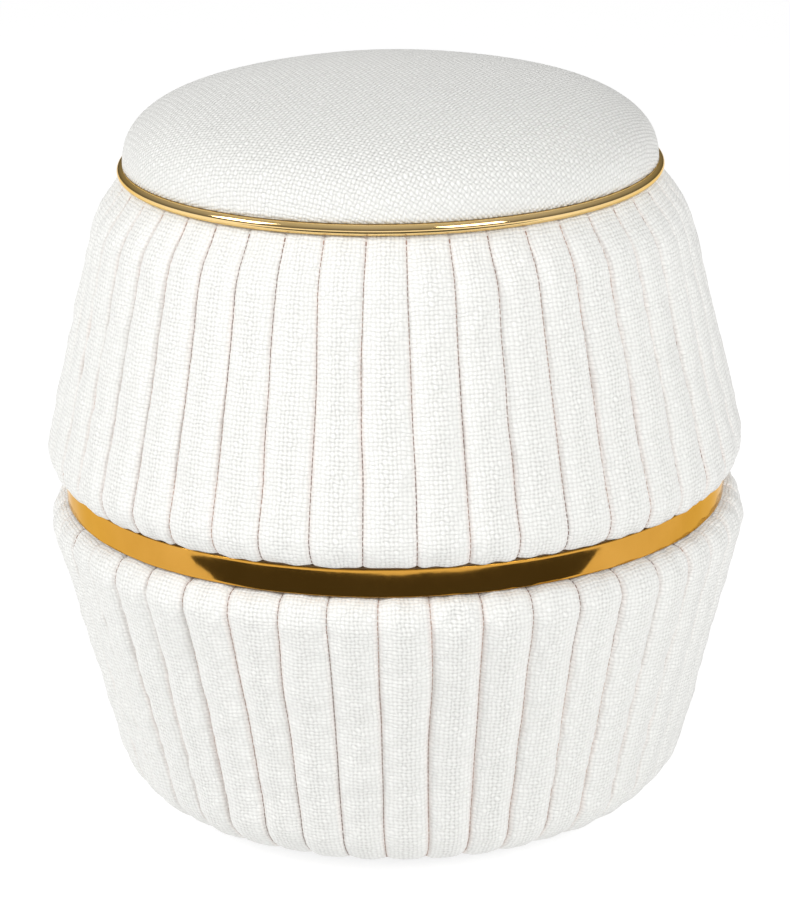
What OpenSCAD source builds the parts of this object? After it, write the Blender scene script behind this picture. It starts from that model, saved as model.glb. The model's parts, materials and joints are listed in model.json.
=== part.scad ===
// Round upholstered pouf: two channel-stitched drums clamped around a metal waist band,
// with a padded seat and a metal ring on top, standing on four levelling glides.
// Millimetres. Origin on the floor under the centre, +Z up.

/* [Overall] */
// Height of the drum's underside above the floor
under_z = 9; // [7:0.5:12]
// Height of the crown of the seat above the floor
seat_top_z = 478; // [472:1:490]
// Level where the seat meets the upper drum, at the middle of the ring
ring_z = 421.4; // [419:0.1:426]

/* [Drums] */
// Radius of the lower drum's underside, before its corner is rounded
base_r = 180; // [175:1:185]
// Radius of the lower drum at its shoulder, before it is rounded
lower_shoulder_r = 230; // [226:0.5:234]
// Radius of the upper drum at its lower lip, before it is rounded
upper_lip_r = 229.6; // [226:0.1:234]
// Radius of the upper drum where its flank bends in under the ring
upper_bend_r = 189.5; // [186:0.5:193]
// Height where the upper drum's flank bends in
upper_bend_z = 393; // [388:0.5:396]
// Rounding of the lower drum's bottom corner
base_round = 39; // [30:1:44]
// Rounding of the lower drum's shoulder
shoulder_round = 17; // [14:1:24]
// Rounding of the upper drum's lip
lip_round = 18; // [12:1:22]
// Rounding of the upper drum's bend
bend_round = 50; // [30:1:70]

/* [Metalwork] */
// Outer radius of the waist band
band_r = 214; // [212:0.5:215]
// Thickness of the waist band
band_t = 1.5; // [1:0.1:2]
// Lower edge of the waist band
band_z = 207.5; // [203:0.5:209]
// Height of the waist band and of the spacer behind it
band_h = 17.5; // [16:0.5:21]
// Radius of the ring's centre line
ring_r = 170; // [169:0.5:172]
// Diameter of the ring's rod
rod_d = 7; // [6:0.5:8]
// Thickness of the plate that holds the ring
flange_t = 1.5; // [1:0.1:2]

/* [Upholstery] */
// Thickness of the cover fabric
cover_t = 1.6; // [1.2:0.1:2]
// Thickness of the wadding under the drums' covers
drum_wadding_t = 6; // [4:0.5:8]
// Thickness of the wadding under the seat cover
seat_wadding_t = 8; // [6:0.5:10]
// Depth of the padding from the drum's outline to the frame's wall, measured level
padding = 30; // [26:1:32]
// Inner radius of the hems folded under the base and over the top
hem_r = 118; // [112:1:124]
// Inner radius of the hems clamped at the waist
waist_hem_r = 150; // [145:1:155]
// Thickness of the cloth that closes the underside
dust_cover_t = 0.6; // [0.4:0.1:1]

/* [Frame] */
// Thickness of the drums' plywood boards
board_t = 18; // [15:1:19]
// Thickness of the seat's plywood board
seat_board_t = 12; // [10:1:15]
// Radius of the seat's board
seat_board_r = 152; // [145:1:155]
// Thickness of the bent hardboard wall, measured level
wall_t = 3.1; // [2.5:0.1:4]
// Number of upright ribs in each drum
rib_count = 8; // [8:8:8]
// Thickness of a rib
rib_t = 18; // [12:1:20]

/* [Levelling glides] */
// Distance of each glide from the centre
glide_ring_r = 122; // [118:1:126]
// Radius of a glide's pad
pad_r = 21; // [17:0.5:23]
// How far a glide can be unscrewed
glide_travel = 6; // [4:0.5:8]

/* [Hidden] */
$fn = 96;
GLIDES = [1, 2, 3, 4];

FABRIC = [0.93, 0.92, 0.89];
WADDING = [0.97, 0.97, 0.96];
FOAM = [0.93, 0.88, 0.66];
PLYWOOD = [0.80, 0.66, 0.46];
HARDBOARD = [0.50, 0.35, 0.22];
BRASS = [0.83, 0.64, 0.27];
STEEL = [0.72, 0.73, 0.75];
BLACK_CLOTH = [0.10, 0.10, 0.11];
NYLON = [0.12, 0.12, 0.13];

// How far a cutter runs past the face it opens
past = 1;
arc_steps = 10;
crown_steps = 22;
// A seat rounder than an ellipse: the exponents of its outline across and up
crown_across = 2.6;
crown_up = 2.8;
// How far the seat's outline runs below the ring's level before it is trimmed
crown_skirt = 5;

// Levels, from the floor up
cover_z0 = under_z + dust_cover_t;
base_z0 = cover_z0 + cover_t;
band_top = band_z + band_h;
lower_board_z0 = band_z - cover_t - board_t;
upper_board_z0 = band_top + cover_t;
drum_top_z = ring_z - flange_t / 2;
top_board_z0 = drum_top_z - cover_t - board_t;
seat_z0 = ring_z + flange_t / 2;
seat_board_z0 = seat_z0 + cover_t;
seat_board_top = seat_board_z0 + seat_board_t;

rod_r = rod_d / 2;
groove_r = rod_r + 0.3;
lower_slope = (lower_shoulder_r - base_r) / (band_z - cover_z0);
upper_slope = (upper_bend_r - upper_lip_r) / (upper_bend_z - band_top);
foam_depth = cover_t + drum_wadding_t;
seat_foam_depth = cover_t + seat_wadding_t;

// Fasteners
bolt_r = 4;
bolt_hole_r = 4.3;
bolt_head_across = 13;
bolt_head_h = 5.3;
washer_r = 8;
washer_t = 1.6;
nut_flange_r = 10;
nut_flange_t = 1.5;
nut_barrel_r = 5;
nut_barrel_h = 11;
nut_pocket_r = 11.5;
nut_pocket_h = 5;
drum_bolt_ring_r = 168;
drum_bolt_l = 65;
seat_bolt_ring_r = 130;
seat_bolt_l = 40;
screw_r = 2.2;
screw_head_r = 4.6;
screw_head_h = 2.8;
screw_rim = 0.4;
screw_tip = 6;
screw_l = 50;
staple_crown = 10;
staple_leg = 8;
staple_wire = 0.5;
rib_gap = 0.4;
nail_r = 0.8;
nail_l = 12;
nail_dome_r = 3.2;
nail_head_h = 0.8;
nail_turn = 1.6;
band_gap = 0.3;
band_edge = 0.4;
hand_hole_r = 85;
waist_hole_r = 110;
top_hole_r = 60;
dust_staple_ring_r = 137;
base_staple_ring_r = 130;
waist_staple_ring_r = 158;
top_staple_ring_r = 142;

// Levelling glide
pad_h = 8;
pad_edge = 2;
cup_r = 7;
cup_z0 = 2;
cup_t = 2;
swivel_gap = 0.2;
collar_across = 13;
collar_t = 2;
stop_gap = 0.05;
glide_screw_top = 36;
thread_gap = 0.05;
glide_hole_r = 12;

// ---- Outlines, as [radius, height] ----

function unit(v) = v / norm(v);

// An arc of radius rad in the corner b between a and c
function corner(a, b, c, rad) =
    let (u = unit(a - b), v = unit(c - b),
         half = acos(u * v) / 2,
         tangent = rad / tan(half),
         centre = b + unit(u + v) * rad / sin(half),
         p = b + u * tangent - centre,
         q = b + v * tangent - centre,
         from = atan2(p.y, p.x),
         turn = (atan2(q.y, q.x) - from + 540) % 360 - 180)
    [for (i = [0:arc_steps])
        let (angle = from + turn * i / arc_steps) centre + rad * [cos(angle), sin(angle)]];

// Level shift of a slanted line that moves inwards by t
function level(slope, t) = t * sqrt(1 + slope * slope);

function lower_flank(z, t) = base_r + lower_slope * (z - cover_z0) - level(lower_slope, t);
function upper_flank(z, t) = upper_lip_r + upper_slope * (z - band_top) - level(upper_slope, t);

// The lower drum's outline, moved inwards by t
function lower_outline(t) =
    let (low = cover_z0 + t, high = band_z - t,
         a = [0, low],
         b = [lower_flank(low, t), low],
         c = [lower_flank(high, t), high],
         d = [0, high])
    concat([a], corner(a, b, c, base_round - t), corner(b, c, d, shoulder_round - t), [d]);

// The slope of the upper drum above its bend, down to the underside of the ring
bend_slope = (ring_r - upper_bend_r) / (ring_z - groove_r - upper_bend_z);

// The upper drum's outline, moved inwards by t, with no groove for the ring
function upper_outline(t) =
    let (low = band_top + t, high = drum_top_z - t,
         shift = level(upper_slope, t) - level(bend_slope, t),
         bend_z = upper_bend_z + shift / (upper_slope - bend_slope),
         a = [0, low],
         b = [upper_flank(low, t), low],
         c = [upper_flank(bend_z, t), bend_z],
         d = [c.x + bend_slope * (high - bend_z), high],
         e = [0, high])
    concat([a], corner(a, b, c, lip_round - t), corner(b, c, d, bend_round - t), [d, e]);

// The seat's outline, moved inwards by t, from below the ring's level to the crown
function seat_outline(t) =
    let (across = ring_r - t, up = seat_top_z - ring_z - t)
    concat([[0, ring_z - crown_skirt], [across, ring_z - crown_skirt]],
        [for (i = [0:crown_steps])
            let (angle = 90 * i / crown_steps)
            [across * pow(cos(angle), 2 / crown_across), ring_z + up * pow(sin(angle), 2 / crown_up)]]);

module lower_section(t) polygon(lower_outline(t));

module upper_section(t) difference() {
    polygon(upper_outline(t));
    translate([ring_r, ring_z]) circle(groove_r + t);
}

module seat_section(t) difference() {
    polygon(seat_outline(t));
    translate([-past, ring_z - crown_skirt - past])
        square([ring_r + 2 * past, seat_z0 + t - ring_z + crown_skirt + past]);
    translate([ring_r, ring_z]) circle(groove_r + t);
}

// Everything inside the frame's wall
module lower_frame_section() polygon([
    [-past, 0], [lower_flank(0, 0) - padding, 0],
    [lower_flank(band_z, 0) - padding, band_z], [-past, band_z]]);
module upper_frame_section() polygon([
    [-past, band_top], [upper_flank(band_top, 0) - padding, band_top],
    [upper_flank(ring_z, 0) - padding, ring_z], [-past, ring_z]]);
module seat_board_section() translate([-past, seat_z0])
    square([seat_board_r + past, seat_board_top - seat_z0]);

// The opening inside a hem of thickness cover_t whose lower face is at z
module hem_opening(r, z) translate([-past, z - past]) square([r + past, cover_t + 2 * past]);

// ---- Fasteners ----

module around(count, radius, first = 0)
    for (i = [0:count - 1]) rotate(first + 360 * i / count) translate([radius, 0, 0]) children();

// A cutter of radius r through a layer from z up to z + h
module hole(z, h, r) translate([0, 0, z - past]) cylinder(h = h + 2 * past, r = r);

// A hex bolt whose head's bearing face is at the origin and whose shank points up
module bolt(length) {
    cylinder(h = length, r = bolt_r);
    translate([0, 0, -bolt_head_h]) cylinder(h = bolt_head_h, r = bolt_head_across / sqrt(3), $fn = 6);
}

module washer() difference() {
    cylinder(h = washer_t, r = washer_r);
    hole(0, washer_t, bolt_hole_r);
}

// A tee nut whose flange lies on the board at the origin and whose barrel points down
module tee_nut(bore) difference() {
    union() {
        cylinder(h = nut_flange_t, r = nut_flange_r);
        translate([0, 0, -nut_barrel_h]) cylinder(h = nut_barrel_h + nut_flange_t / 2, r = nut_barrel_r);
    }
    hole(-nut_barrel_h, nut_barrel_h + nut_flange_t, bore);
}

// A countersunk wood screw with its head's top at the origin, pointing up
module wood_screw() rotate_extrude() polygon([
    [0, 0], [screw_head_r, 0], [screw_head_r, screw_rim], [screw_r, screw_head_h],
    [screw_r, screw_l - screw_tip], [0, screw_l]]);

// A staple with its crown on the surface at the origin, along Y, and its legs pointing up
module staple() translate([staple_wire, 0, 0]) rotate([90, 0, -90])
    linear_extrude(2 * staple_wire) polygon([
        [-staple_crown / 2, -staple_wire], [staple_crown / 2, -staple_wire],
        [staple_crown / 2, staple_leg], [staple_crown / 2 - staple_wire, staple_leg],
        [staple_crown / 2 - staple_wire, 0], [-staple_crown / 2 + staple_wire, 0],
        [-staple_crown / 2 + staple_wire, staple_leg], [-staple_crown / 2, staple_leg]]);

// Where each drum's screws stand, as [radius, height, direction]
LOWER_SCREWS = [[135, base_z0, 0], [175, band_z - cover_t, 180]];
UPPER_SCREWS = [[172, upper_board_z0, 0], [136, drum_top_z - cover_t, 180]];
rib_turn = 180 / rib_count;
module drum_screws(rows) for (row = rows)
    around(rib_count, row[0], rib_turn) translate([0, 0, row[1]]) rotate([row[2], 0, 0]) wood_screw();

module at_drum_bolts() around(4, drum_bolt_ring_r) children();
module at_seat_bolts() around(4, seat_bolt_ring_r, 45) children();
module at_glides() around(4, glide_ring_r, 45) children();

// ---- Seat ----

module seat_cover() color(FABRIC) difference() {
    rotate_extrude() difference() {
        seat_section(0);
        seat_section(cover_t);
        hem_opening(hem_r, seat_z0);
    }
    at_seat_bolts() hole(seat_z0, cover_t, bolt_hole_r);
}

module seat_wadding() color(WADDING) rotate_extrude() difference() {
    seat_section(cover_t);
    seat_section(seat_foam_depth);
    seat_board_section();
}

module seat_foam() color(FOAM) difference() {
    rotate_extrude() difference() {
        seat_section(seat_foam_depth);
        seat_board_section();
    }
    at_seat_bolts() hole(seat_board_top, nut_pocket_h, nut_pocket_r);
}

module seat_board() color(PLYWOOD) difference() {
    translate([0, 0, seat_board_z0]) cylinder(h = seat_board_t, r = seat_board_r);
    at_seat_bolts() hole(seat_board_z0, seat_board_t, nut_barrel_r);
}

module seat_tee_nuts() color(STEEL) at_seat_bolts() translate([0, 0, seat_board_top]) tee_nut(bolt_r);
module seat_bolts() color(STEEL)
    at_seat_bolts() translate([0, 0, top_board_z0 - washer_t]) bolt(seat_bolt_l);
module seat_washers() color(STEEL) at_seat_bolts() translate([0, 0, top_board_z0 - washer_t]) washer();
module seat_cover_staples() color(STEEL)
    around(32, top_staple_ring_r) translate([0, 0, seat_z0 + staple_wire]) staple();

// ---- Ring ----

module top_ring() color(BRASS) rotate_extrude() translate([ring_r, ring_z]) circle(rod_r);
module ring_flange() color(BRASS) difference() {
    translate([0, 0, ring_z - flange_t / 2]) cylinder(h = flange_t, r = ring_r - 1);
    hole(ring_z - flange_t / 2, flange_t, hem_r);
    top_ring();
    at_seat_bolts() hole(ring_z - flange_t / 2, flange_t, bolt_hole_r);
}

// ---- Upper drum ----

module upper_cover() color(FABRIC) difference() {
    rotate_extrude() difference() {
        upper_section(0);
        upper_section(cover_t);
        hem_opening(waist_hem_r, band_top);
        hem_opening(hem_r, drum_top_z - cover_t);
    }
    at_drum_bolts() hole(band_top, cover_t, bolt_hole_r);
    at_seat_bolts() hole(drum_top_z - cover_t, cover_t, bolt_hole_r);
}

module upper_wadding() color(WADDING) rotate_extrude() difference() {
    upper_section(cover_t);
    upper_section(foam_depth);
    upper_frame_section();
}

module upper_foam() color(FOAM) rotate_extrude() difference() {
    upper_section(foam_depth);
    upper_frame_section();
}

function upper_wall_in(z) = upper_flank(z, 0) - padding - wall_t;
module upper_wall() color(HARDBOARD) rotate_extrude() polygon([
    for (end = [[upper_board_z0, 0], [upper_board_z0, wall_t],
                [drum_top_z - cover_t, wall_t], [drum_top_z - cover_t, 0]])
        [upper_wall_in(end[0]) + end[1], end[0]]]);

// A board whose edge follows the wall
module upper_board(z0, hole_r) rotate_extrude() polygon([
    [hole_r, z0], [upper_wall_in(z0), z0],
    [upper_wall_in(z0 + board_t), z0 + board_t], [hole_r, z0 + board_t]]);

module top_board() color(PLYWOOD) difference() {
    upper_board(top_board_z0, top_hole_r);
    at_seat_bolts() hole(top_board_z0, board_t, bolt_hole_r);
    drum_screws([UPPER_SCREWS[1]]);
}

module upper_waist_board() color(PLYWOOD) difference() {
    upper_board(upper_board_z0, waist_hole_r);
    at_drum_bolts() hole(upper_board_z0, board_t, nut_barrel_r);
    drum_screws([UPPER_SCREWS[0]]);
}

// An upright rib from z0 to z1, with its inner edge leaning from in0 to in1
module rib(z0, z1, in0, in1, out0, out1)
    translate([0, rib_t / 2, 0]) rotate([90, 0, 0]) linear_extrude(rib_t)
        polygon([[in0, z0], [out0 - rib_gap, z0], [out1 - rib_gap, z1], [in1, z1]]);

upper_ribs_z0 = upper_board_z0 + board_t;
module upper_ribs() color(PLYWOOD) difference() {
    around(rib_count, 0, rib_turn) rib(upper_ribs_z0, top_board_z0, waist_hem_r, hem_r,
        upper_wall_in(upper_ribs_z0), upper_wall_in(top_board_z0));
    drum_screws(UPPER_SCREWS);
}

module upper_screws() color(STEEL) drum_screws(UPPER_SCREWS);
module upper_cover_staples() color(STEEL) {
    around(40, waist_staple_ring_r, 4.5) translate([0, 0, band_top + staple_wire]) staple();
    around(32, top_staple_ring_r, 5) translate([0, 0, drum_top_z - staple_wire]) mirror([0, 0, 1]) staple();
}

// ---- Waist ----

module waist_band() color(BRASS) difference() {
    rotate_extrude() polygon([
        [band_r - band_t, band_z], [band_r - band_edge, band_z], [band_r, band_z + band_edge],
        [band_r, band_top - band_edge], [band_r - band_edge, band_top], [band_r - band_t, band_top]]);
    translate([-band_gap / 2, 0, band_z - past]) cube([band_gap, band_r + past, band_h + 2 * past]);
    at_band_nails() hole(-nail_l, nail_l, nail_r);
}

// Four nails beside the butt joint at the back, pointing outwards
module at_band_nails() for (side = [-1, 1], level = [0.28, 0.72])
    rotate(90 + side * nail_turn) translate([band_r, 0, band_z + band_h * level])
        rotate([0, 90, 0]) children();

module band_nails() color(BRASS) at_band_nails() union() {
    translate([0, 0, -nail_l]) cylinder(h = nail_l + nail_head_h / 2, r = nail_r);
    intersection() {
        translate([0, 0, nail_head_h - nail_dome_r]) sphere(r = nail_dome_r);
        cylinder(h = nail_head_h + past, r = nail_dome_r);
    }
}

module waist_spacer() color(PLYWOOD) difference() {
    translate([0, 0, band_z]) cylinder(h = band_h, r = band_r - band_t);
    hole(band_z, band_h, waist_hem_r);
    at_drum_bolts() hole(band_z, band_h, bolt_hole_r);
    at_band_nails() translate([0, 0, -nail_l]) cylinder(h = nail_l, r = nail_r);
}

module drum_bolts() color(STEEL)
    at_drum_bolts() translate([0, 0, lower_board_z0 - washer_t]) bolt(drum_bolt_l);
module drum_washers() color(STEEL)
    at_drum_bolts() translate([0, 0, lower_board_z0 - washer_t]) washer();
module drum_tee_nuts() color(STEEL)
    at_drum_bolts() translate([0, 0, upper_board_z0 + board_t]) tee_nut(bolt_r);

// ---- Lower drum ----

module lower_cover() color(FABRIC) difference() {
    rotate_extrude() difference() {
        lower_section(0);
        lower_section(cover_t);
        hem_opening(hem_r, cover_z0);
        hem_opening(waist_hem_r, band_z - cover_t);
    }
    at_drum_bolts() hole(band_z - cover_t, cover_t, bolt_hole_r);
    at_glides() hole(cover_z0, cover_t, glide_hole_r);
}

module lower_wadding() color(WADDING) rotate_extrude() difference() {
    lower_section(cover_t);
    lower_section(foam_depth);
    lower_frame_section();
}

module lower_foam() color(FOAM) rotate_extrude() difference() {
    lower_section(foam_depth);
    lower_frame_section();
}

function lower_wall_in(z) = lower_flank(z, 0) - padding - wall_t;
wall_lift = 3;
module lower_wall() color(HARDBOARD) rotate_extrude() polygon([
    for (end = [[base_z0 + wall_lift, 0], [base_z0 + wall_lift, wall_t],
                [band_z - cover_t, wall_t], [band_z - cover_t, 0]])
        [lower_wall_in(end[0]) + end[1], end[0]]]);

// A board whose edge follows the wall
module lower_board(z0, hole_r) rotate_extrude() polygon([
    [hole_r, z0], [lower_wall_in(z0), z0],
    [lower_wall_in(z0 + board_t), z0 + board_t], [hole_r, z0 + board_t]]);

module lower_waist_board() color(PLYWOOD) difference() {
    lower_board(lower_board_z0, waist_hole_r);
    at_drum_bolts() hole(lower_board_z0, board_t, bolt_hole_r);
    drum_screws([LOWER_SCREWS[1]]);
}

module base_board() color(PLYWOOD) difference() {
    lower_board(base_z0, hand_hole_r);
    at_glides() hole(base_z0, board_t, bolt_hole_r);
    at_glides() translate([0, 0, base_z0 + board_t - nut_barrel_h])
        cylinder(h = nut_barrel_h + past, r = nut_barrel_r);
    drum_screws([LOWER_SCREWS[0]]);
}

lower_ribs_z0 = base_z0 + board_t;
module lower_ribs() color(PLYWOOD) difference() {
    around(rib_count, 0, rib_turn) rib(lower_ribs_z0, lower_board_z0, hem_r, waist_hem_r,
        lower_wall_in(lower_ribs_z0), lower_wall_in(lower_board_z0));
    drum_screws(LOWER_SCREWS);
}

module lower_screws() color(STEEL) drum_screws(LOWER_SCREWS);
module lower_cover_staples() color(STEEL) {
    around(40, waist_staple_ring_r, 4.5) translate([0, 0, band_z - staple_wire]) mirror([0, 0, 1]) staple();
    around(24, base_staple_ring_r, 7.5) translate([0, 0, cover_z0 + staple_wire]) staple();
}

module dust_cover() color(BLACK_CLOTH) difference() {
    translate([0, 0, under_z]) cylinder(h = dust_cover_t, r = dust_staple_ring_r + 5);
    at_glides() hole(under_z, dust_cover_t, glide_hole_r);
}

module dust_cover_staples() color(STEEL)
    around(32, dust_staple_ring_r, 5.625) translate([0, 0, under_z]) staple();

// ---- Levelling glides ----

module glide_tee_nuts() color(STEEL)
    at_glides() translate([0, 0, base_z0 + board_t]) tee_nut(bolt_r + thread_gap);

module at_glide(i) rotate(45 + 90 * (i - 1)) translate([glide_ring_r, 0, 0]) children();

// The pad that stands on the floor, with a cup that the screw's foot turns in
module glide_pad(i) color(NYLON) at_glide(i) difference() {
    rotate_extrude() polygon([
        [0, 0], [pad_r - pad_edge, 0], [pad_r, pad_edge], [pad_r, pad_h - pad_edge],
        [pad_r - pad_edge, pad_h], [0, pad_h]]);
    translate([0, 0, cup_z0 - swivel_gap]) cylinder(h = cup_t + 2 * swivel_gap, r = cup_r + swivel_gap);
    translate([0, 0, cup_z0]) cylinder(h = pad_h, r = bolt_r + swivel_gap);
}

// The screw: a foot held in the pad, a hex collar that stops on the base, and the threaded shank
module glide_screw(i) color(STEEL) at_glide(i) union() {
    translate([0, 0, cup_z0]) cylinder(h = cup_t, r = cup_r);
    translate([0, 0, cup_z0 + cup_t]) cylinder(h = glide_screw_top - cup_z0 - cup_t, r = bolt_r);
    translate([0, 0, base_z0 - stop_gap - collar_t])
        cylinder(h = collar_t, r = collar_across / sqrt(3), $fn = 6);
}

seat_cover();
seat_wadding();
seat_foam();
seat_board();
seat_tee_nuts();
seat_bolts();
seat_washers();
seat_cover_staples();
top_ring();
ring_flange();
upper_cover();
upper_wadding();
upper_foam();
upper_wall();
top_board();
upper_ribs();
upper_waist_board();
upper_screws();
upper_cover_staples();
waist_band();
waist_spacer();
band_nails();
drum_bolts();
drum_washers();
drum_tee_nuts();
lower_cover();
lower_wadding();
lower_foam();
lower_wall();
lower_waist_board();
lower_ribs();
base_board();
lower_screws();
lower_cover_staples();
dust_cover();
dust_cover_staples();
glide_tee_nuts();
for (i = GLIDES) glide_pad(i);
for (i = GLIDES) glide_screw(i);
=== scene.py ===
"""A round upholstered pouf: two drums sewn in upright channels, clamped round a brass waist
band, with a domed seat inside a brass ring, on four levelling glides.

Metres, Z up, the front faces -Y. Angles round the pouf are measured from the front towards +X.
"""
import json

import bpy
import numpy as np
from mathutils import Matrix, Vector
from mathutils.geometry import delaunay_2d_cdt


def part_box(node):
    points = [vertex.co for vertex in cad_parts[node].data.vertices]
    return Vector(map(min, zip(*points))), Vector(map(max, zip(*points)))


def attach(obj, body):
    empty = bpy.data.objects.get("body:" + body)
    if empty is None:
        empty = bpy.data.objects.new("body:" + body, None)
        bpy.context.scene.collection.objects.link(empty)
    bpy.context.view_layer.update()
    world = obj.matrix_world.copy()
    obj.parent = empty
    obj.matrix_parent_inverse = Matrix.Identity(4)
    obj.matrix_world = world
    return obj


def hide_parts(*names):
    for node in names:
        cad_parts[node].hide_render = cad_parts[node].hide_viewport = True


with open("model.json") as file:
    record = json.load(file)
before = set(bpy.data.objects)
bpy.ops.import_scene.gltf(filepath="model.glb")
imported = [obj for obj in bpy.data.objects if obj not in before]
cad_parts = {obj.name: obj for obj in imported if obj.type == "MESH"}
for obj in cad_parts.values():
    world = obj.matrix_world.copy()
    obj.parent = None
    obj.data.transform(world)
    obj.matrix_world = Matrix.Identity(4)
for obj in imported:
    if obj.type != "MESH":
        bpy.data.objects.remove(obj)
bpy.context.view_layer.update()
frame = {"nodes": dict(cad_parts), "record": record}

MM = 0.001
BODY = "pouf"


# ---- sizes from the frame

def span(node):
    """A round node's outer radius, bottom and top, in millimetres."""
    low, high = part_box(node)
    return (high.x - low.x) / 2 / MM, low.z / MM, high.z / MM


BAND_R, BAND_Z, BAND_TOP = span("waist_band")
RING_OUT, RING_LOW, RING_HIGH = span("top_ring")
ROD_R = (RING_HIGH - RING_LOW) / 2
RING_R = RING_OUT - ROD_R
RING_Z = (RING_HIGH + RING_LOW) / 2
SEAT_BOARD_R, SEAT_BOARD_Z, SEAT_BOARD_TOP = span("seat_board")
_, SEAT_Z, SEAT_TOP = span("seat_cover")
DRUM_TOP = span("upper_cover")[2]
COVER_Z = span("lower_cover")[1]
UPPER_WALL_R = span("upper_wall")[0]
LOWER_WALL_R = span("lower_wall")[0]
DUST_R, _, DUST_TOP = span("dust_cover")
COVER_T = SEAT_BOARD_Z - SEAT_Z

QUILT_T = 7.6            # cover and wadding together
HEM_R = 118.0            # where the covers fold in above and below
WAIST_HEM_R = 150.0      # and behind the band
GROOVE_R = ROD_R + 0.3   # the hollow the upholstery leaves for the ring

CHANNELS = 44
STEP = 2 * np.pi / CHANNELS
UPPER_PHASE = np.radians(3.0)    # the first seam of each drum
LOWER_PHASE = np.radians(5.2)


# ---- outlines

def fillet(points, radii, arc_steps=24):
    """A path of [radius, height] points with each inner corner rounded."""
    points = [np.array(p, float) for p in points]
    path = [points[0]]
    for before, corner, after, radius in zip(points, points[1:], points[2:], radii):
        u = (before - corner) / np.linalg.norm(before - corner)
        v = (after - corner) / np.linalg.norm(after - corner)
        half = np.arccos(np.clip(u @ v, -1, 1)) / 2
        middle = (u + v) / np.linalg.norm(u + v)
        centre = corner + middle * radius / np.sin(half)
        first = corner + u * radius / np.tan(half) - centre
        last = corner + v * radius / np.tan(half) - centre
        start = np.arctan2(first[1], first[0])
        turn = (np.arctan2(last[1], last[0]) - start + 3 * np.pi) % (2 * np.pi) - np.pi
        for angle in start + turn * np.linspace(0, 1, arc_steps):
            path.append(centre + radius * np.array([np.cos(angle), np.sin(angle)]))
    path.append(points[-1])
    return np.array(path)


def resample(path, spacing):
    """The path at even spacing, and the distance along it."""
    along = np.concatenate([[0], np.cumsum(np.linalg.norm(np.diff(path, axis=0), axis=1))])
    count = int(round(along[-1] / spacing)) + 1
    at = np.linspace(0, along[-1], count)
    return np.stack([np.interp(at, along, path[:, 0]), np.interp(at, along, path[:, 1])], 1), at


def unit(vectors):
    return vectors / np.linalg.norm(vectors, axis=1)[:, None]


def outward(path):
    """Unit normals to the right of a path's direction, which is outside where it runs upwards."""
    tangent = unit(np.gradient(path, axis=0))
    return np.stack([tangent[:, 1], -tangent[:, 0]], 1)


def groove(from_deg, to_deg, steps=7):
    """Points round the ring, where the upholstery closes on it."""
    angles = np.radians(np.linspace(from_deg, to_deg, steps))
    return [[RING_R + GROOVE_R * np.cos(a), RING_Z + GROOVE_R * np.sin(a)] for a in angles]


LIP_SAG = 1.9            # of the upper drum, over the band's edge
SHOULDER_SWELL = 0.9     # of the lower drum, past it
UPPER_LIP = (229.6, BAND_TOP)
UPPER_BEND = (189.5, 393.0)
LOWER_CORNER = (180.0, COVER_Z)
LOWER_SHOULDER = (230.0, BAND_Z)


def ease(x, start, end):
    """A smooth step from 0 at start to 1 at end."""
    t = np.clip((x - start) / (end - start), 0, 1)
    return t * t * (3 - 2 * t)


def upper_path():
    """The upper drum's outline, whose soft lip hangs a little over the edge of the band."""
    under_ring = groove(270, 192)
    points = [(WAIST_HEM_R, BAND_TOP), UPPER_LIP, UPPER_BEND, under_ring[0]]
    path = fillet(points, [18, 50])
    path = np.vstack([path, under_ring[1:], [[HEM_R, DRUM_TOP]]])
    path, _ = resample(path, 0.5)
    beyond = ease(path[:, 0], BAND_R + 0.6, BAND_R + 3.6)
    path[:, 1] -= LIP_SAG * beyond * (1 - ease(path[:, 1], BAND_TOP, BAND_TOP + 15))
    return path


def lower_path():
    """The lower drum's outline, whose soft shoulder swells a little past the edge of the band."""
    path = fillet([(HEM_R, COVER_Z), LOWER_CORNER, LOWER_SHOULDER, (WAIST_HEM_R, BAND_Z)], [39, 17])
    path, _ = resample(path, 0.5)
    beyond = ease(path[:, 0], BAND_R + 0.6, BAND_R + 3.0)
    path[:, 1] += SHOULDER_SWELL * beyond * ease(path[:, 1], BAND_Z - 14, BAND_Z)
    return path


# ---- mesh helpers

def in_scene(name, data):
    """A new object, linked into the scene."""
    made = bpy.data.objects.new(name, data)
    bpy.context.scene.collection.objects.link(made)
    return made


def new_object(mesh, body=BODY, material=None):
    """A mesh's own object, riding on its body; the room's pieces have none."""
    piece = in_scene(mesh.name, mesh)
    if material is not None:
        mesh.materials.append(material)
    if body is not None:
        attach(piece, body)
    return piece


def build_mesh(name, verts, faces, uv=None):
    """A mesh from vertices in metres; uv holds one [u, v] per face corner for each of its layers."""
    mesh = bpy.data.meshes.new(name)
    faces = faces.tolist() if isinstance(faces, np.ndarray) else faces
    mesh.from_pydata(np.asarray(verts).tolist(), [], faces)
    for layer_name, values in (uv or {}).items():
        layer = mesh.uv_layers.new(name=layer_name)
        layer.data.foreach_set("uv", np.asarray(values, np.float32).ravel())
    mesh.shade_smooth()
    mesh.validate()
    mesh.update()
    return mesh


def polar(radius, angle, height):
    """Points in metres from millimetres and an angle measured from the front."""
    return np.stack([radius * np.sin(angle), -radius * np.cos(angle),
                     np.broadcast_to(height, np.shape(radius * angle))], -1) * MM


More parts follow.
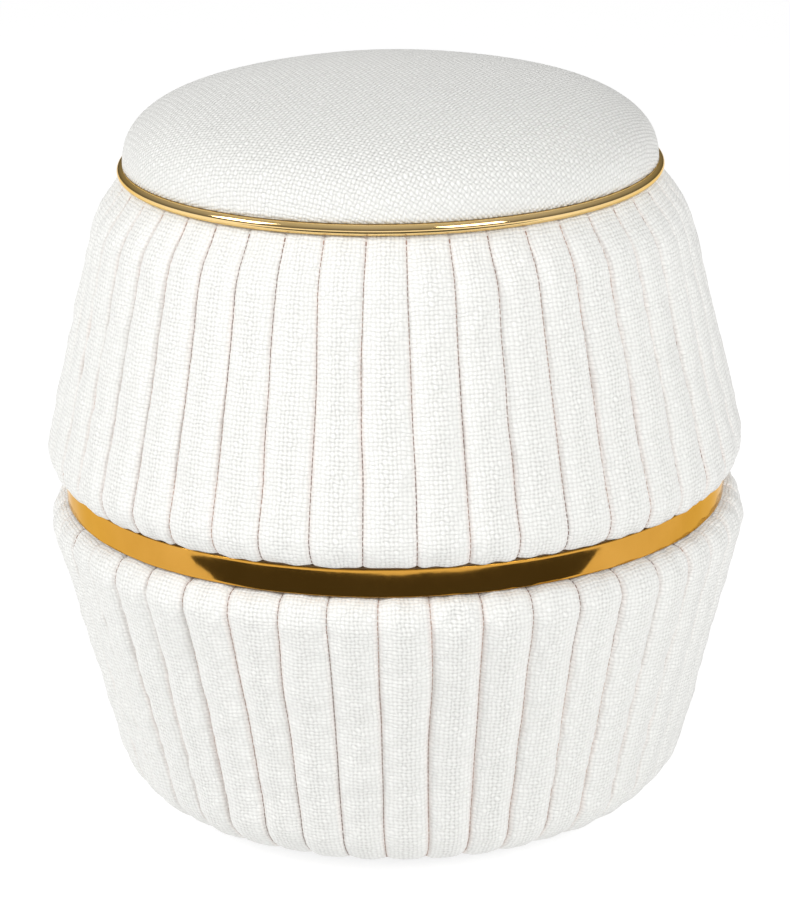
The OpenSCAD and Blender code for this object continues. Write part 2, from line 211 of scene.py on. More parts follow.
def grid_faces(rows, cols, wrap_rows=False, flip=False):
    """Quads of a grid of rows that close on themselves, with each row's vertices in turn."""
    r = np.arange(rows if wrap_rows else rows - 1)[:, None]
    c = np.arange(cols)[None, :]
    a = r * cols + c
    b = r * cols + (c + 1) % cols
    d = ((r + 1) % rows) * cols + c
    e = ((r + 1) % rows) * cols + (c + 1) % cols
    quads = np.stack(np.broadcast_arrays(a, b, e, d), -1).reshape(-1, 4)
    return quads[:, ::-1] if flip else quads


def waves(rng, rows, cols, cycles_up, cycles_round, terms=5):
    """A smooth random field over rows and columns that closes round the pouf, about -1 to 1."""
    v = np.linspace(0, 1, rows)[:, None]
    u = np.linspace(0, 1, cols, endpoint=False)[None, :]
    total = np.zeros((rows, cols))
    for _ in range(terms):
        up = rng.uniform(0.3, 1) * cycles_up
        around = rng.integers(max(1, cycles_round // 3), cycles_round + 1)
        total += (np.sin(2 * np.pi * (up * v + rng.uniform()))
                  * np.cos(2 * np.pi * (around * u + rng.uniform())))
    return total / np.sqrt(terms)


# ---- materials

class Maker:
    """A new material, and short ways to add and join its nodes."""

    def __init__(self, name):
        self.material = bpy.data.materials.new(name)
        self.material.use_nodes = True
        self.tree = self.material.node_tree
        self.tree.nodes.clear()
        output = self.tree.nodes.new("ShaderNodeOutputMaterial")
        self.shader = self.tree.nodes.new("ShaderNodeBsdfPrincipled")
        self.tree.links.new(self.shader.outputs[0], output.inputs["Surface"])

    def node(self, kind, inputs=(), **settings):
        made = self.tree.nodes.new(kind)
        for key, value in settings.items():
            setattr(made, key, value)
        for key, value in dict(inputs).items():
            self.put(made.inputs[key], value)
        return made

    def put(self, socket, value):
        if isinstance(value, bpy.types.NodeSocket):
            self.tree.links.new(value, socket)
        else:
            socket.default_value = value

    def where(self):
        """The object's own coordinates."""
        return self.node("ShaderNodeTexCoord").outputs["Object"]

    def math(self, operation, a, b=None, c=None, clamp=False):
        made = self.node("ShaderNodeMath", operation=operation, use_clamp=clamp)
        for socket, value in zip(made.inputs, (a, b, c)):
            if value is not None:
                self.put(socket, value)
        return made.outputs[0]

    def times(self, a, b):
        return self.math("MULTIPLY", a, b)

    def mix(self, factor, a, b):
        """A mix of two colours."""
        return self.node("ShaderNodeMix", {0: factor, 6: a, 7: b}, data_type="RGBA").outputs[2]

    def noise(self, vector, scale, detail=2.0, roughness=0.5):
        return self.node("ShaderNodeTexNoise", {"Vector": vector, "Scale": scale, "Detail": detail,
                                                "Roughness": roughness}).outputs[0]

    def ramp(self, factor, low, high, to_low=0.0, to_high=1.0):
        return self.node("ShaderNodeMapRange", {"Value": factor, "From Min": low, "From Max": high,
                                                "To Min": to_low, "To Max": to_high}).outputs[0]

    def bump(self, height, distance, strength):
        made = self.node("ShaderNodeBump",
                         {"Height": height, "Distance": distance, "Strength": strength})
        self.put(self.shader.inputs["Normal"], made.outputs[0])

    def set(self, **values):
        names = {"colour": "Base Color", "rough": "Roughness", "metal": "Metallic",
                 "sheen": "Sheen Weight", "sheen_rough": "Sheen Roughness",
                 "specular": "Specular IOR Level"}
        for key, value in values.items():
            self.put(self.shader.inputs[names[key]], value)


CLOTH_LIGHT = (0.852, 0.852, 0.828, 1)
# The painted shade in the weave's holes, yarn edges and weft floats darkens towards this colour, as
# does the cloth's random tone.
CLOTH_SHADE_AND_TONE = (0.20, 0.19, 0.17, 1)
BESIDE_SEAM = (0.80, 0.69, 0.64, 1)


def cover_material(name, pitch, turn, weft, line, hole, relief, channel_uv=None):
    """Coarse off-white plain weave of round yarns, pitch metres apart. weft, line and hole are how
    much painted shade darkens the weft's floats, the yarns' edges and the holes between four yarns.
    The last argument names a UV map whose u crosses each channel: the painted shade is strongest
    over each crest, and without one it grows up the crown."""
    m = Maker(name)
    uv = m.node("ShaderNodeUVMap", uv_map="weave")
    vector = m.node("ShaderNodeVectorRotate", {"Vector": uv.outputs[0], "Angle": turn},
                    rotation_type="Z_AXIS").outputs[0]
    shift = m.times(m.math("SUBTRACT", m.noise(vector, 170.0, 1.0), 0.5), 1.1)
    split = m.node("ShaderNodeSeparateXYZ", {"Vector": vector})
    x = m.math("ADD", m.math("DIVIDE", split.outputs[0], pitch), shift)
    y = m.math("SUBTRACT", m.math("DIVIDE", split.outputs[1], pitch), shift)
    cell_x, cell_y = m.math("FLOOR", x), m.math("FLOOR", y)
    across = m.math("SINE", m.times(m.math("FRACT", x), np.pi))
    along = m.math("SINE", m.times(m.math("FRACT", y), np.pi))
    is_warp = m.math("FLOORED_MODULO", m.math("ADD", cell_x, cell_y), 2.0)

    def yarn(section, length):
        over = m.math("MULTIPLY_ADD", length, 0.55, 0.45)
        return m.times(m.math("POWER", section, 0.5), over)

    floats = {0: is_warp, 2: yarn(along, across), 3: yarn(across, along)}
    height = m.node("ShaderNodeMix", floats).outputs[0]
    cell = m.node("ShaderNodeCombineXYZ", {"X": cell_x, "Y": cell_y}).outputs[0]
    knot = m.node("ShaderNodeTexWhiteNoise", {"Vector": cell}, noise_dimensions="2D").outputs[0]
    height = m.times(height, m.math("MULTIPLY_ADD", knot, 0.3, 0.7))

    where = m.where()
    patch = m.noise(where, 14.0, 3.0)
    light = CLOTH_LIGHT
    if channel_uv is None:
        # Painted shade: on the seat the darkening of the weave grows towards the crown.
        rise = m.node("ShaderNodeSeparateXYZ", {"Vector": where}).outputs[2]
        strength = m.ramp(rise, (RING_Z + 6) * MM, (SEAT_TOP - 14) * MM, 0.35, 1.0)
    else:
        channel = m.node("ShaderNodeUVMap", uv_map=channel_uv).outputs[0]
        share = m.node("ShaderNodeSeparateXYZ", {"Vector": channel}).outputs[0]
        off_crest = m.math("ABSOLUTE", m.math("SUBTRACT", share, 0.5))
        # Painted shade: the darkening of the weave is strongest over each channel's crest, in patches,
        # and weaker beside the seams.
        duller = m.times(m.ramp(off_crest, 0.08, 0.26, 1.0, 0.0), m.ramp(patch, 0.3, 0.6, 0.4, 1.0))
        strength = m.math("MULTIPLY_ADD", duller, 0.50, 0.48)
        tinted = m.times(m.ramp(off_crest, 0.40, 0.50, 0.0, 0.55),
                         m.ramp(patch, 0.35, 0.65, 0.3, 1.0))
        light = m.mix(tinted, CLOTH_LIGHT, BESIDE_SEAM)
    # Painted shade: the holes between four yarns, the yarns' edges and the weft's floats are darkened,
    # scaled by strength; the knots' and patches' random tone is added after.
    corner = m.math("SUBTRACT", 1.0, m.math("MAXIMUM", across, along))
    dark = m.times(m.math("POWER", corner, 0.8), hole)
    dark = m.math("ADD", dark, m.times(m.ramp(height, 0.0, 0.6, 1.0, 0.0), line))
    dark = m.math("ADD", dark, m.times(m.math("SUBTRACT", 1.0, is_warp), weft))
    uneven = m.times(m.math("SUBTRACT", 1.0, knot), 0.07)
    dark = m.math("ADD", m.times(dark, strength), uneven)
    cloudy = m.times(m.math("SUBTRACT", 1.0, patch), 0.04)
    dark = m.math("ADD", dark, cloudy, clamp=True)
    m.set(colour=m.mix(dark, light, CLOTH_SHADE_AND_TONE), rough=0.9, sheen=0.2, sheen_rough=0.5, specular=0.15)
    m.bump(height, pitch * relief, 1.0)
    return m.material


def thread_material():
    """Twisted sewing thread, a little pink against the cloth."""
    m = Maker("seam_thread")
    where = m.where()
    fade = m.ramp(m.noise(where, 9.0, 2.0), 0.35, 0.65)
    m.set(colour=m.mix(fade, (0.20, 0.115, 0.09, 1), (0.52, 0.36, 0.29, 1)), rough=0.7, sheen=0.2)
    m.bump(m.noise(where, 2500.0, 1.0), 0.0001, 0.6)
    return m.material


def brass_material(name, rough, duller, bright):
    """Polished brass with fine wiping marks."""
    m = Maker(name)
    where = m.where()
    cloud = m.noise(where, 22.0, 4.0, 0.6)
    fine = m.noise(where, 260.0, 3.0, 0.7)
    m.set(colour=m.mix(m.ramp(cloud, 0.3, 0.7), duller, bright), metal=1.0,
          rough=m.math("ADD", m.ramp(cloud, 0.3, 0.75, rough, rough * 1.8),
                       m.ramp(fine, 0.5, 0.8, 0.0, 0.03)))
    m.put(m.shader.inputs["Specular Tint"], (1.0, 0.82, 0.50, 1))
    m.bump(cloud, 0.0004, 0.2)
    return m.material


def steel_material():
    """Zinc-plated steel with a spangle."""
    m = Maker("zinc_steel")
    where = m.where()
    spangle = m.node("ShaderNodeTexVoronoi", {"Vector": where, "Scale": 420.0}).outputs["Distance"]
    tone = m.mix(m.ramp(spangle, 0.0, 0.7), (0.52, 0.53, 0.55, 1), (0.74, 0.75, 0.76, 1))
    m.set(colour=tone, metal=1.0, rough=m.ramp(m.noise(where, 300.0, 3.0), 0.3, 0.7, 0.28, 0.45))
    m.bump(spangle, 0.00005, 0.3)
    return m.material


def wood_material(name, light, dark, ply):
    """Plywood or hardboard: grain on the faces, and thin plies along the height of an edge."""
    m = Maker(name)
    where = m.where()
    stretched = m.node("ShaderNodeMapping", {"Vector": where, "Scale": (4.0, 60.0, 60.0)}).outputs[0]
    grain = m.noise(stretched, 3.0, 5.0, 0.65)
    height = m.node("ShaderNodeSeparateXYZ", {"Vector": where}).outputs[2]
    plies = m.math("PINGPONG", m.math("DIVIDE", height, ply), 1.0)
    tone = m.math("ADD", m.times(grain, 0.7), m.times(m.math("GREATER_THAN", plies, 0.5), 0.3))
    m.set(colour=m.mix(tone, dark, light), rough=m.ramp(grain, 0.3, 0.7, 0.6, 0.8), specular=0.3)
    m.bump(grain, 0.0003, 0.5)
    return m.material


def foam_material(name, light, dark, scale):
    """Open cells of foam, or the loose fibres of wadding."""
    m = Maker(name)
    where = m.where()
    cells = m.node("ShaderNodeTexVoronoi", {"Vector": where, "Scale": scale}).outputs["Distance"]
    m.set(colour=m.mix(m.ramp(cells, 0.0, 0.6), dark, light), rough=0.95, sheen=0.3, specular=0.1)
    m.bump(cells, 0.5 / scale, 0.6)
    return m.material


def dust_cloth_material():
    """Black spun-bonded cloth with its grid of tiny welds."""
    m = Maker("dust_cloth")
    where = m.where()
    grid = m.node("ShaderNodeTexVoronoi", {"Vector": where, "Scale": 700.0, "Randomness": 0.15})
    welds = grid.outputs["Distance"]
    fibre = m.noise(where, 900.0, 4.0, 0.7)
    m.set(colour=m.mix(fibre, (0.012, 0.012, 0.013, 1), (0.05, 0.05, 0.055, 1)), rough=0.92,
          sheen=0.3, specular=0.2)
    m.bump(m.math("ADD", welds, m.times(fibre, 0.5)), 0.0003, 0.7)
    return m.material


def nylon_material():
    """Dark moulded nylon with a fine spark-eroded grain."""
    m = Maker("glide_nylon")
    where = m.where()
    grain = m.noise(where, 1500.0, 3.0, 0.6)
    scuff = m.noise(where, 60.0, 4.0, 0.6)
    m.set(colour=m.mix(scuff, (0.018, 0.018, 0.02, 1), (0.045, 0.045, 0.047, 1)),
          rough=m.ramp(scuff, 0.3, 0.7, 0.42, 0.6), specular=0.4)
    m.bump(grain, 0.0001, 0.5)
    return m.material


# weft, line and hole set how strongly painted shade darkens each cloth's weave.
DRUM_CLOTH = cover_material("drum_cloth", pitch=0.0027, turn=0.0, weft=0.06, line=0.10, hole=0.27,
                            relief=0.22, channel_uv="channel")
SEAT_CLOTH = cover_material("seat_cloth", pitch=0.0027, turn=np.radians(27), weft=0.15, line=0.12,
                            hole=0.32, relief=0.30)
THREAD = thread_material()
BAND_BRASS = brass_material("band_brass", rough=0.05, duller=(0.58, 0.29, 0.045, 1),
                            bright=(0.64, 0.33, 0.06, 1))
RING_BRASS = brass_material("ring_brass", rough=0.05, duller=(0.84, 0.60, 0.26, 1),
                            bright=(0.88, 0.64, 0.30, 1))
STEEL = steel_material()
PLYWOOD = wood_material("plywood", (0.74, 0.56, 0.36, 1), (0.48, 0.32, 0.17, 1), 0.0015)
HARDBOARD = wood_material("hardboard", (0.30, 0.18, 0.10, 1), (0.18, 0.10, 0.055, 1), 0.0008)
FOAM = foam_material("foam", (0.90, 0.82, 0.55, 1), (0.55, 0.46, 0.25, 1), 900.0)
WADDING = foam_material("wadding", (0.92, 0.92, 0.91, 1), (0.68, 0.68, 0.67, 1), 500.0)
DUST_CLOTH = dust_cloth_material()
NYLON = nylon_material()

SLOT_MATERIALS = {"cover_fabric": DRUM_CLOTH, "wadding": WADDING, "foam": FOAM, "plywood": PLYWOOD,
                  "hardboard": HARDBOARD, "brass": RING_BRASS, "zinc_steel": STEEL,
                  "dust_cloth": DUST_CLOTH, "glide_nylon": NYLON}


def finish_cad_nodes():
    """Every carried-over CAD node gets the material of its slot."""
    for part in frame["record"]["subparts"]:
        mesh = frame["nodes"][part["node"]].data
        mesh.materials.clear()
        mesh.materials.append(SLOT_MATERIALS[part["material_slot"]])


# ---- cloth physics

def blow_up(name, verts, faces, held, pressure, fullness, frames, most):
    """How far cloth physics moves each point of an open cover, in metres: it is a little too full,
    is held at some points and has the padding's pressure behind it."""
    cover = in_scene(name, build_mesh(name, verts, faces))
    scene = bpy.context.scene
    cover.vertex_groups.new(name="held").add(np.nonzero(held)[0].tolist(), 1.0, "REPLACE")
    cloth = cover.modifiers.new("cloth", "CLOTH")
    settings = dict(vertex_group_mass="held", quality=6, mass=0.3, tension_stiffness=25,
                    compression_stiffness=25, shear_stiffness=8, bending_stiffness=0.8,
                    use_pressure=True, uniform_pressure_force=pressure, shrink_min=-fullness)
    for key, value in settings.items():
        setattr(cloth.settings, key, value)
    cloth.settings.effector_weights.gravity = 0
    cloth.collision_settings.use_collision = False
    cloth.point_cache.frame_start = 1
    cloth.point_cache.frame_end = frames
    for step in range(1, frames + 1):
        scene.frame_set(step)
    settled = cover.evaluated_get(bpy.context.evaluated_depsgraph_get()).data
    after = np.empty(len(settled.vertices) * 3)
    settled.vertices.foreach_get("co", after)
    bpy.data.objects.remove(cover)
    scene.frame_set(1)
    moved = after.reshape(-1, 3) - np.asarray(verts)
    reach = np.linalg.norm(moved, axis=1)[:, None]
    return moved * np.minimum(1, most / np.maximum(reach, 1e-9))


def smoothed(field, times):
    """The field averaged with the rows above and below it, several times."""
    for _ in range(times):
        padded = np.concatenate([field[:1], field, field[-1:]])
        field = (padded[:-2] + 2 * padded[1:-1] + padded[2:]) / 4
    return field


# ---- the channelled drums

# Columns across one channel, closer beside the seams
ACROSS = np.array([0, 0.010, 0.024, 0.045, 0.08, 0.13, 0.19, 0.27, 0.36, 0.45,
                   0.55, 0.64, 0.73, 0.81, 0.87, 0.92, 0.955, 0.976, 0.990])
SEAM_CREASE = 0.020      # half width of the pinched crease, as a share of a channel
CREASE_DEPTH = 0.45
TUG_SPACING = 9.0        # between the thread's hardest pulls
ROW_SPACING = 2.2
SIM_ACROSS = 6           # cells across a channel in the cloth's own grid
SIM_ROW_SPACING = 5.0
SIM_SHARE = 0.62         # the simulated share of a channel's shape; the rest is drawn


def sunk(path, normal, sink):
    """Radii and heights of points below a path; sink has the path's rows first of its three axes."""
    return [path[:, k][:, None, None] - sink * normal[:, k][:, None, None] for k in (0, 1)]


class Drum:
    """One drum's quilted cover: cloth and wadding sewn together in upright channels."""

    def __init__(self, name, path, inner, phase, depth, seed, lean):
        self.name = name
        self.rng = np.random.default_rng(seed)
        self.path, self.along = resample(path, ROW_SPACING)
        self.normal = outward(self.path)
        self.inner = np.asarray(inner, float)
        self.phase = phase
        self.rows = len(self.path)
        self.share = self.along / self.along[-1]
        self.depth = np.interp(self.share, *zip(*depth))
        self.lean = lean
        self.seams = self.sew()
        self.place(self.puff())

    def sew(self):
        """The angle of each seam at each row: even, but wandering as hand-guided stitching does."""
        v = self.along / 1000.0
        seams = np.zeros((self.rows, CHANNELS))
        for j in range(CHANNELS):
            seams[:, j] = self.phase + j * STEP + self.rng.normal(0, np.radians(0.12))
            for waves_per_metre, size in ((3.0, 0.16), (7.0, 0.11), (17.0, 0.05)):
                cycles = waves_per_metre * self.rng.uniform(0.7, 1.3)
                seams[:, j] += np.radians(size) * self.rng.normal() * np.sin(
                    2 * np.pi * (cycles * v + self.rng.uniform()))
        return seams

    def angles(self, seams, s):
        """Angles at shares s of the way from each seam to the next."""
        following = np.roll(seams, -1, axis=1)
        following[:, -1] += 2 * np.pi
        return seams[:, :, None] * (1 - s) + following[:, :, None] * s

    def puff(self):
        """How far each point rises out of its seam, about 0 at a seam and 1 on a crest."""
        s = ACROSS
        path, along = resample(self.path, SIM_ROW_SPACING)
        rows = len(path)
        normal = outward(path)
        depth = np.interp(along, self.along, self.depth)
        seams = np.stack([np.interp(along, self.along, line) for line in self.seams.T], 1)
        steps = np.arange(SIM_ACROSS) / SIM_ACROSS
        angle = self.angles(seams, steps)
        lumps = self.rng.normal(0, 0.10, angle.shape) * (steps > 0)
        sink = depth[:, None, None] * (1 - 2.4 * steps * (1 - steps) - lumps)
        radius, height, angle = (x.reshape(rows, -1) for x in (*sunk(path, normal, sink), angle))
        verts = polar(radius, angle, height).reshape(-1, 3)
        held = np.zeros((rows, CHANNELS, SIM_ACROSS), bool)
        held[:, :, 0] = True
        held[depth < 0.5] = True
        faces = grid_faces(rows, CHANNELS * SIM_ACROSS)
        moved = blow_up(self.name + "_sim", verts, faces, held.reshape(-1), pressure=3.0,
                        fullness=0.012, frames=16, most=4 * MM)
        direction = np.stack([normal[:, :1] * np.sin(angle), -normal[:, :1] * np.cos(angle),
                              normal[:, 1:] + 0 * angle], -1).reshape(-1, 3)
        risen = np.sum(moved * direction, 1).reshape(rows, CHANNELS, SIM_ACROSS) / MM
        risen += (depth[:, None, None] - sink) * (1 - held)
        crest = smoothed(risen[:, :, SIM_ACROSS // 2].mean(1), 4)
        usual = np.median(crest)
        risen = risen / np.maximum(crest, 0.25 * usual)[:, None, None]
        m = np.arange(1, SIM_ACROSS)
        to_fine = (2 / SIM_ACROSS * np.sin(np.pi * np.outer(steps[1:], m))
                   @ np.sin(np.pi * np.outer(m, s)))
        fine = np.clip(risen[:, :, 1:], 0, 1.6) @ to_fine
        at = np.interp(self.along, along, np.arange(rows))
        low = np.minimum(at.astype(int), rows - 2)
        blend = (at - low)[:, None, None]
        return smoothed(fine[low] * (1 - blend) + fine[low + 1] * blend, 3)

    def place(self, puff):
        """Each point in its channel, with the lumps, creases and pulled seams."""
        rows, rng = self.rows, self.rng
        s = ACROSS[None, None, :]
        angle = self.angles(self.seams, s)
        stitched = 1 - np.abs(2 * s - 1) ** 7
        rise = SIM_SHARE * puff + (1 - SIM_SHARE) * stitched
        swell = waves(rng, rows, CHANNELS, 5, 15)[:, :, None] * 0.5
        plump = rng.normal(0, 0.35, (1, CHANNELS, 1))
        ripple = waves(rng, rows, CHANNELS, 16, 21)[:, :, None] * 0.14
        depth = self.depth[:, None, None]
        sink = depth * (1 - rise) - (swell + plump + ripple) * stitched * np.minimum(1, depth / 4)
        near = np.minimum(s, 1 - s) / SEAM_CREASE
        crease = np.minimum(depth * 0.35, CREASE_DEPTH) * np.exp(-near ** 2)
        pull = 0.16 * np.exp(-(near / 6) ** 2) * np.minimum(1, depth / 3)
        tugs = np.sin(2 * np.pi * self.along[:, None, None] / TUG_SPACING
                      + rng.uniform(0, 6.28, (1, CHANNELS, 1)))
        sink = sink + crease + pull * tugs
        lean = self.lean * np.sin(angle) * np.sin(np.pi * self.share)[:, None, None]
        radius, height = sunk(self.path, self.normal, sink)
        self.angle, self.radius, self.height = (
            x.reshape(rows, -1) for x in np.broadcast_arrays(angle, radius + lean, height))

    def outer(self):
        return polar(self.radius, self.angle, self.height)

    def weave_uv(self, faces, cols):
        """Each channel's cloth is laid flat round its own centre line."""
        per = len(ACROSS)
        width = self.path[:, 0] * STEP
        row, col = faces // cols, faces % cols
        share = ACROSS[col % per]
        last = (col % per == 0) & (col != faces[:, :1] % cols)
        share = np.where(last, 1.0, share)
        row = np.minimum(row, self.rows - 1)
        channel = (faces[:, :1] % cols) // per
        offset = channel * 0.1 + self.rng.uniform(0, 0.05, CHANNELS)[channel]
        u = (share - 0.5) * width[row] * MM + offset
        return {"weave": np.stack([u, self.along[row] * MM + offset], -1).reshape(-1, 2),
                "channel": np.stack([share, self.share[row]], -1).reshape(-1, 2)}

    def build(self, *nodes):
        outer = self.outer()
        cols = outer.shape[1]
        inner = polar(self.inner[:, :1], self.angle[:1], self.inner[:, 1:])
        verts = np.concatenate([outer.reshape(-1, 3), inner.reshape(-1, 3)])
        faces = grid_faces(len(outer) + len(self.inner), cols, wrap_rows=True)
        uv = self.weave_uv(faces, cols)
        mesh = build_mesh(self.name, verts, faces, uv)
        piece = new_object(mesh, material=DRUM_CLOTH)
        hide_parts(*nodes)

    def seam_lines(self):
        """The bottom of each seam, from hem to hem."""
        return self.outer()[:, ::len(ACROSS)]


STITCH_LENGTH = 2.7 * MM
STITCH_PITCH = 3.5 * MM
THREAD_R = 0.25 * MM


def stitches(name, drum, low_mm, high_mm):
    """Lockstitches lying in each seam between two heights, with a bar tack at both ends."""
    sides = 6
    rings = np.array([[-1, 0.4], [-0.8, 0.85], [0, 1.0], [0.8, 0.85], [1, 0.4]])
    turn = np.linspace(0, 2 * np.pi, sides, endpoint=False)
    shape_along = np.repeat(rings[:, 0], sides) * STITCH_LENGTH / 2
    shape_out = np.outer(rings[:, 1], np.cos(turn)).ravel()
    shape_side = np.outer(rings[:, 1], np.sin(turn)).ravel()
    shape_faces = grid_faces(len(rings), sides).tolist()
    shape_faces += [list(range(sides))[::-1], [len(shape_along) - sides + i for i in range(sides)]]
    verts, faces, start = [], [], 0
    lines = drum.seam_lines()
    radius, height = drum.path.T
    keep = (height > low_mm) & (height < high_mm) & (radius > WAIST_HEM_R + 15)
    for j in range(CHANNELS):
        line = lines[keep, j]
        along = np.concatenate([[0], np.cumsum(np.linalg.norm(np.diff(line, axis=0), axis=1))])
        at = np.arange(STITCH_PITCH / 2, along[-1], STITCH_PITCH)
        at = at + drum.rng.normal(0, 0.05 * STITCH_PITCH, len(at))
        points = np.stack([np.interp(at, along, line[:, k]) for k in range(3)], 1)
        tangents = unit(np.gradient(points, axis=0))
        out = points * [1, 1, 0]
        out = unit(out - tangents * np.sum(out * tangents, 1)[:, None])
        side = np.cross(tangents, out)
        thick = np.full(len(points), THREAD_R)
        thick[[0, -1]] *= 2.0
        centre = points + out * THREAD_R
        section = out[:, None] * shape_out[:, None] + side[:, None] * shape_side[:, None]
        shape = (centre[:, None] + tangents[:, None] * shape_along[:, None]
                 + thick[:, None, None] * section)
        verts.append(shape.reshape(-1, 3))
        for _ in range(len(points)):
            faces += [[start + i for i in face] for face in shape_faces]
            start += len(shape_along)
    mesh = build_mesh(name, np.concatenate(verts), faces)
    new_object(mesh, material=THREAD)


def make_drums():
    """Both covers and their seams. A depth table is [share of the way along, channel depth]."""
    upper_inner = [(HEM_R, DRUM_TOP - COVER_T), (152, DRUM_TOP - COVER_T), (156, DRUM_TOP - QUILT_T),
                   (174, DRUM_TOP - QUILT_T - 6), (183.5, 390), (218, BAND_TOP + 26),
                   (210, BAND_TOP + QUILT_T),
                   (UPPER_WALL_R, BAND_TOP + QUILT_T), (UPPER_WALL_R, BAND_TOP + COVER_T),
                   (WAIST_HEM_R, BAND_TOP + COVER_T)]
    upper_depth = [(0, 0.3), (0.12, 0.5), (0.19, 1.1), (0.26, 2.4), (0.36, 3.8), (0.6, 4.0),
                   (0.74, 3.4), (0.80, 2.2), (0.835, 1.2), (0.86, 0.3), (1, 0.2)]
    upper = Drum("upper_channel_cover", upper_path(), upper_inner, UPPER_PHASE, upper_depth,
                 seed=11, lean=0.0)
    upper.build("upper_cover", "upper_wadding")
    stitches("upper_seam_stitches", upper, BAND_TOP - 0.5, RING_Z - GROOVE_R - 0.5)

    lower_inner = [(WAIST_HEM_R, BAND_Z - COVER_T), (LOWER_WALL_R, BAND_Z - COVER_T),
                   (LOWER_WALL_R, BAND_Z - QUILT_T), (210, BAND_Z - QUILT_T), (217, BAND_Z - 24),
                   (184, 52), (176, 34), (164, 22), (152, COVER_Z + QUILT_T), (147, COVER_Z + COVER_T),
                   (HEM_R, COVER_Z + COVER_T)]
    lower_depth = [(0, 0.2), (0.08, 0.8), (0.18, 2.6), (0.30, 4.3), (0.66, 4.8), (0.75, 3.6),
                   (0.82, 1.7), (0.87, 0.8), (0.93, 0.3), (1, 0.2)]
    lower = Drum("lower_channel_cover", lower_path(), lower_inner, LOWER_PHASE, lower_depth,
                 seed=23, lean=1.8)
    lower.build("lower_cover", "lower_wadding")
    stitches("lower_seam_stitches", lower, COVER_Z + 3.0, BAND_Z + 1.5)


# ---- the seat

CROWN_ACROSS, CROWN_UP = 2.6, 2.8
SEAT_CELLS = 112
SEAT_SIM_CELLS = 44
SEAT_FULL_SIDE = 1.4     # how much the stuffing stands up towards -X


def crown(share):
    """The seat's outline [radius, height] at a share of the way from the crown to the ring."""
    angle = (1 - share) * np.pi / 2
    return (RING_R * np.cos(angle) ** (2 / CROWN_ACROSS),
            RING_Z + (SEAT_TOP - RING_Z) * np.sin(angle) ** (2 / CROWN_UP))


def seat_grid(cells):
    """A square grid pulled over the crown: reach, angle, distance from its middle, radius, height."""
    side = np.linspace(-1, 1, cells + 1)
    gx, gy = np.meshgrid(side, side)
    reach = np.maximum(np.abs(gx), np.abs(gy))
    with np.errstate(divide="ignore", invalid="ignore"):
        from_x = np.pi / 4 * np.nan_to_num(gy / gx) + (gx < 0) * np.pi
        from_y = np.pi / 2 - np.pi / 4 * np.nan_to_num(gx / gy) + (gy < 0) * np.pi
        angle = np.where(np.abs(gx) >= np.abs(gy), from_x, from_y)
    table_r, table_z = crown(np.linspace(0, 1, 4001))
    run = np.concatenate([[0], np.cumsum(np.hypot(np.diff(table_r), np.diff(table_z)))])
    last = run[np.searchsorted(-table_z, -(RING_Z + GROOVE_R))]
    distance = reach * last
    radius, height = (np.interp(distance, run, table) for table in (table_r, table_z))
    return reach, angle, distance, radius, height


def seat_lumps(reach, angle):
    """The uneven stuffing under the cover, in millimetres."""
    rng = np.random.default_rng(5)
    x, y = reach * np.cos(angle), reach * np.sin(angle)
    lumps = np.zeros_like(reach)
    for _ in range(9):
        direction = rng.uniform(0, 2 * np.pi)
        cycles = rng.uniform(0.6, 2.4)
        on_way = x * np.cos(direction) + y * np.sin(direction)
        lumps += np.sin(np.pi * cycles * on_way + rng.uniform(0, 6.28))
    return (0.40 * lumps - SEAT_FULL_SIDE * x) * (1 - reach ** 2)


def cells_faces(cells):
    """The vertex numbers of a square grid, and its quads."""
    index = np.arange((cells + 1) ** 2).reshape(cells + 1, cells + 1)
    quads = np.stack([index[:-1, :-1], index[:-1, 1:], index[1:, 1:], index[1:, :-1]], -1)
    return index, quads.reshape(-1, 4)


def seat_blown():
    """How far the cover rises or falls as it settles over the stuffing, in millimetres."""
    reach, angle, _, radius, height = seat_grid(SEAT_SIM_CELLS)
    height = height + seat_lumps(reach, angle) - 2.5 * (1 - reach ** 2)
    verts = np.stack([radius * np.cos(angle), radius * np.sin(angle), height], -1).reshape(-1, 3) * MM
    _, quads = cells_faces(SEAT_SIM_CELLS)
    moved = blow_up("seat_sim", verts, quads, (reach > 0.985).reshape(-1), pressure=2.0,
                    fullness=0.004, frames=16, most=7 * MM)
    risen = moved[:, 2].reshape(reach.shape) / MM
    # Only the departure from the mean at each reach counts, so the drawn height stays
    rings = np.round(reach * SEAT_SIM_CELLS / 2).astype(int)
    mean = np.bincount(rings.ravel(), risen.ravel()) / np.bincount(rings.ravel())
    own = risen - mean[rings]
    side = np.linspace(0, SEAT_SIM_CELLS, SEAT_CELLS + 1)
    low = np.minimum(side.astype(int), SEAT_SIM_CELLS - 1)
    t = side - low
    own = own[low] * (1 - t)[:, None] + own[low + 1] * t[:, None]
    return own[:, low] * (1 - t) + own[:, low + 1] * t


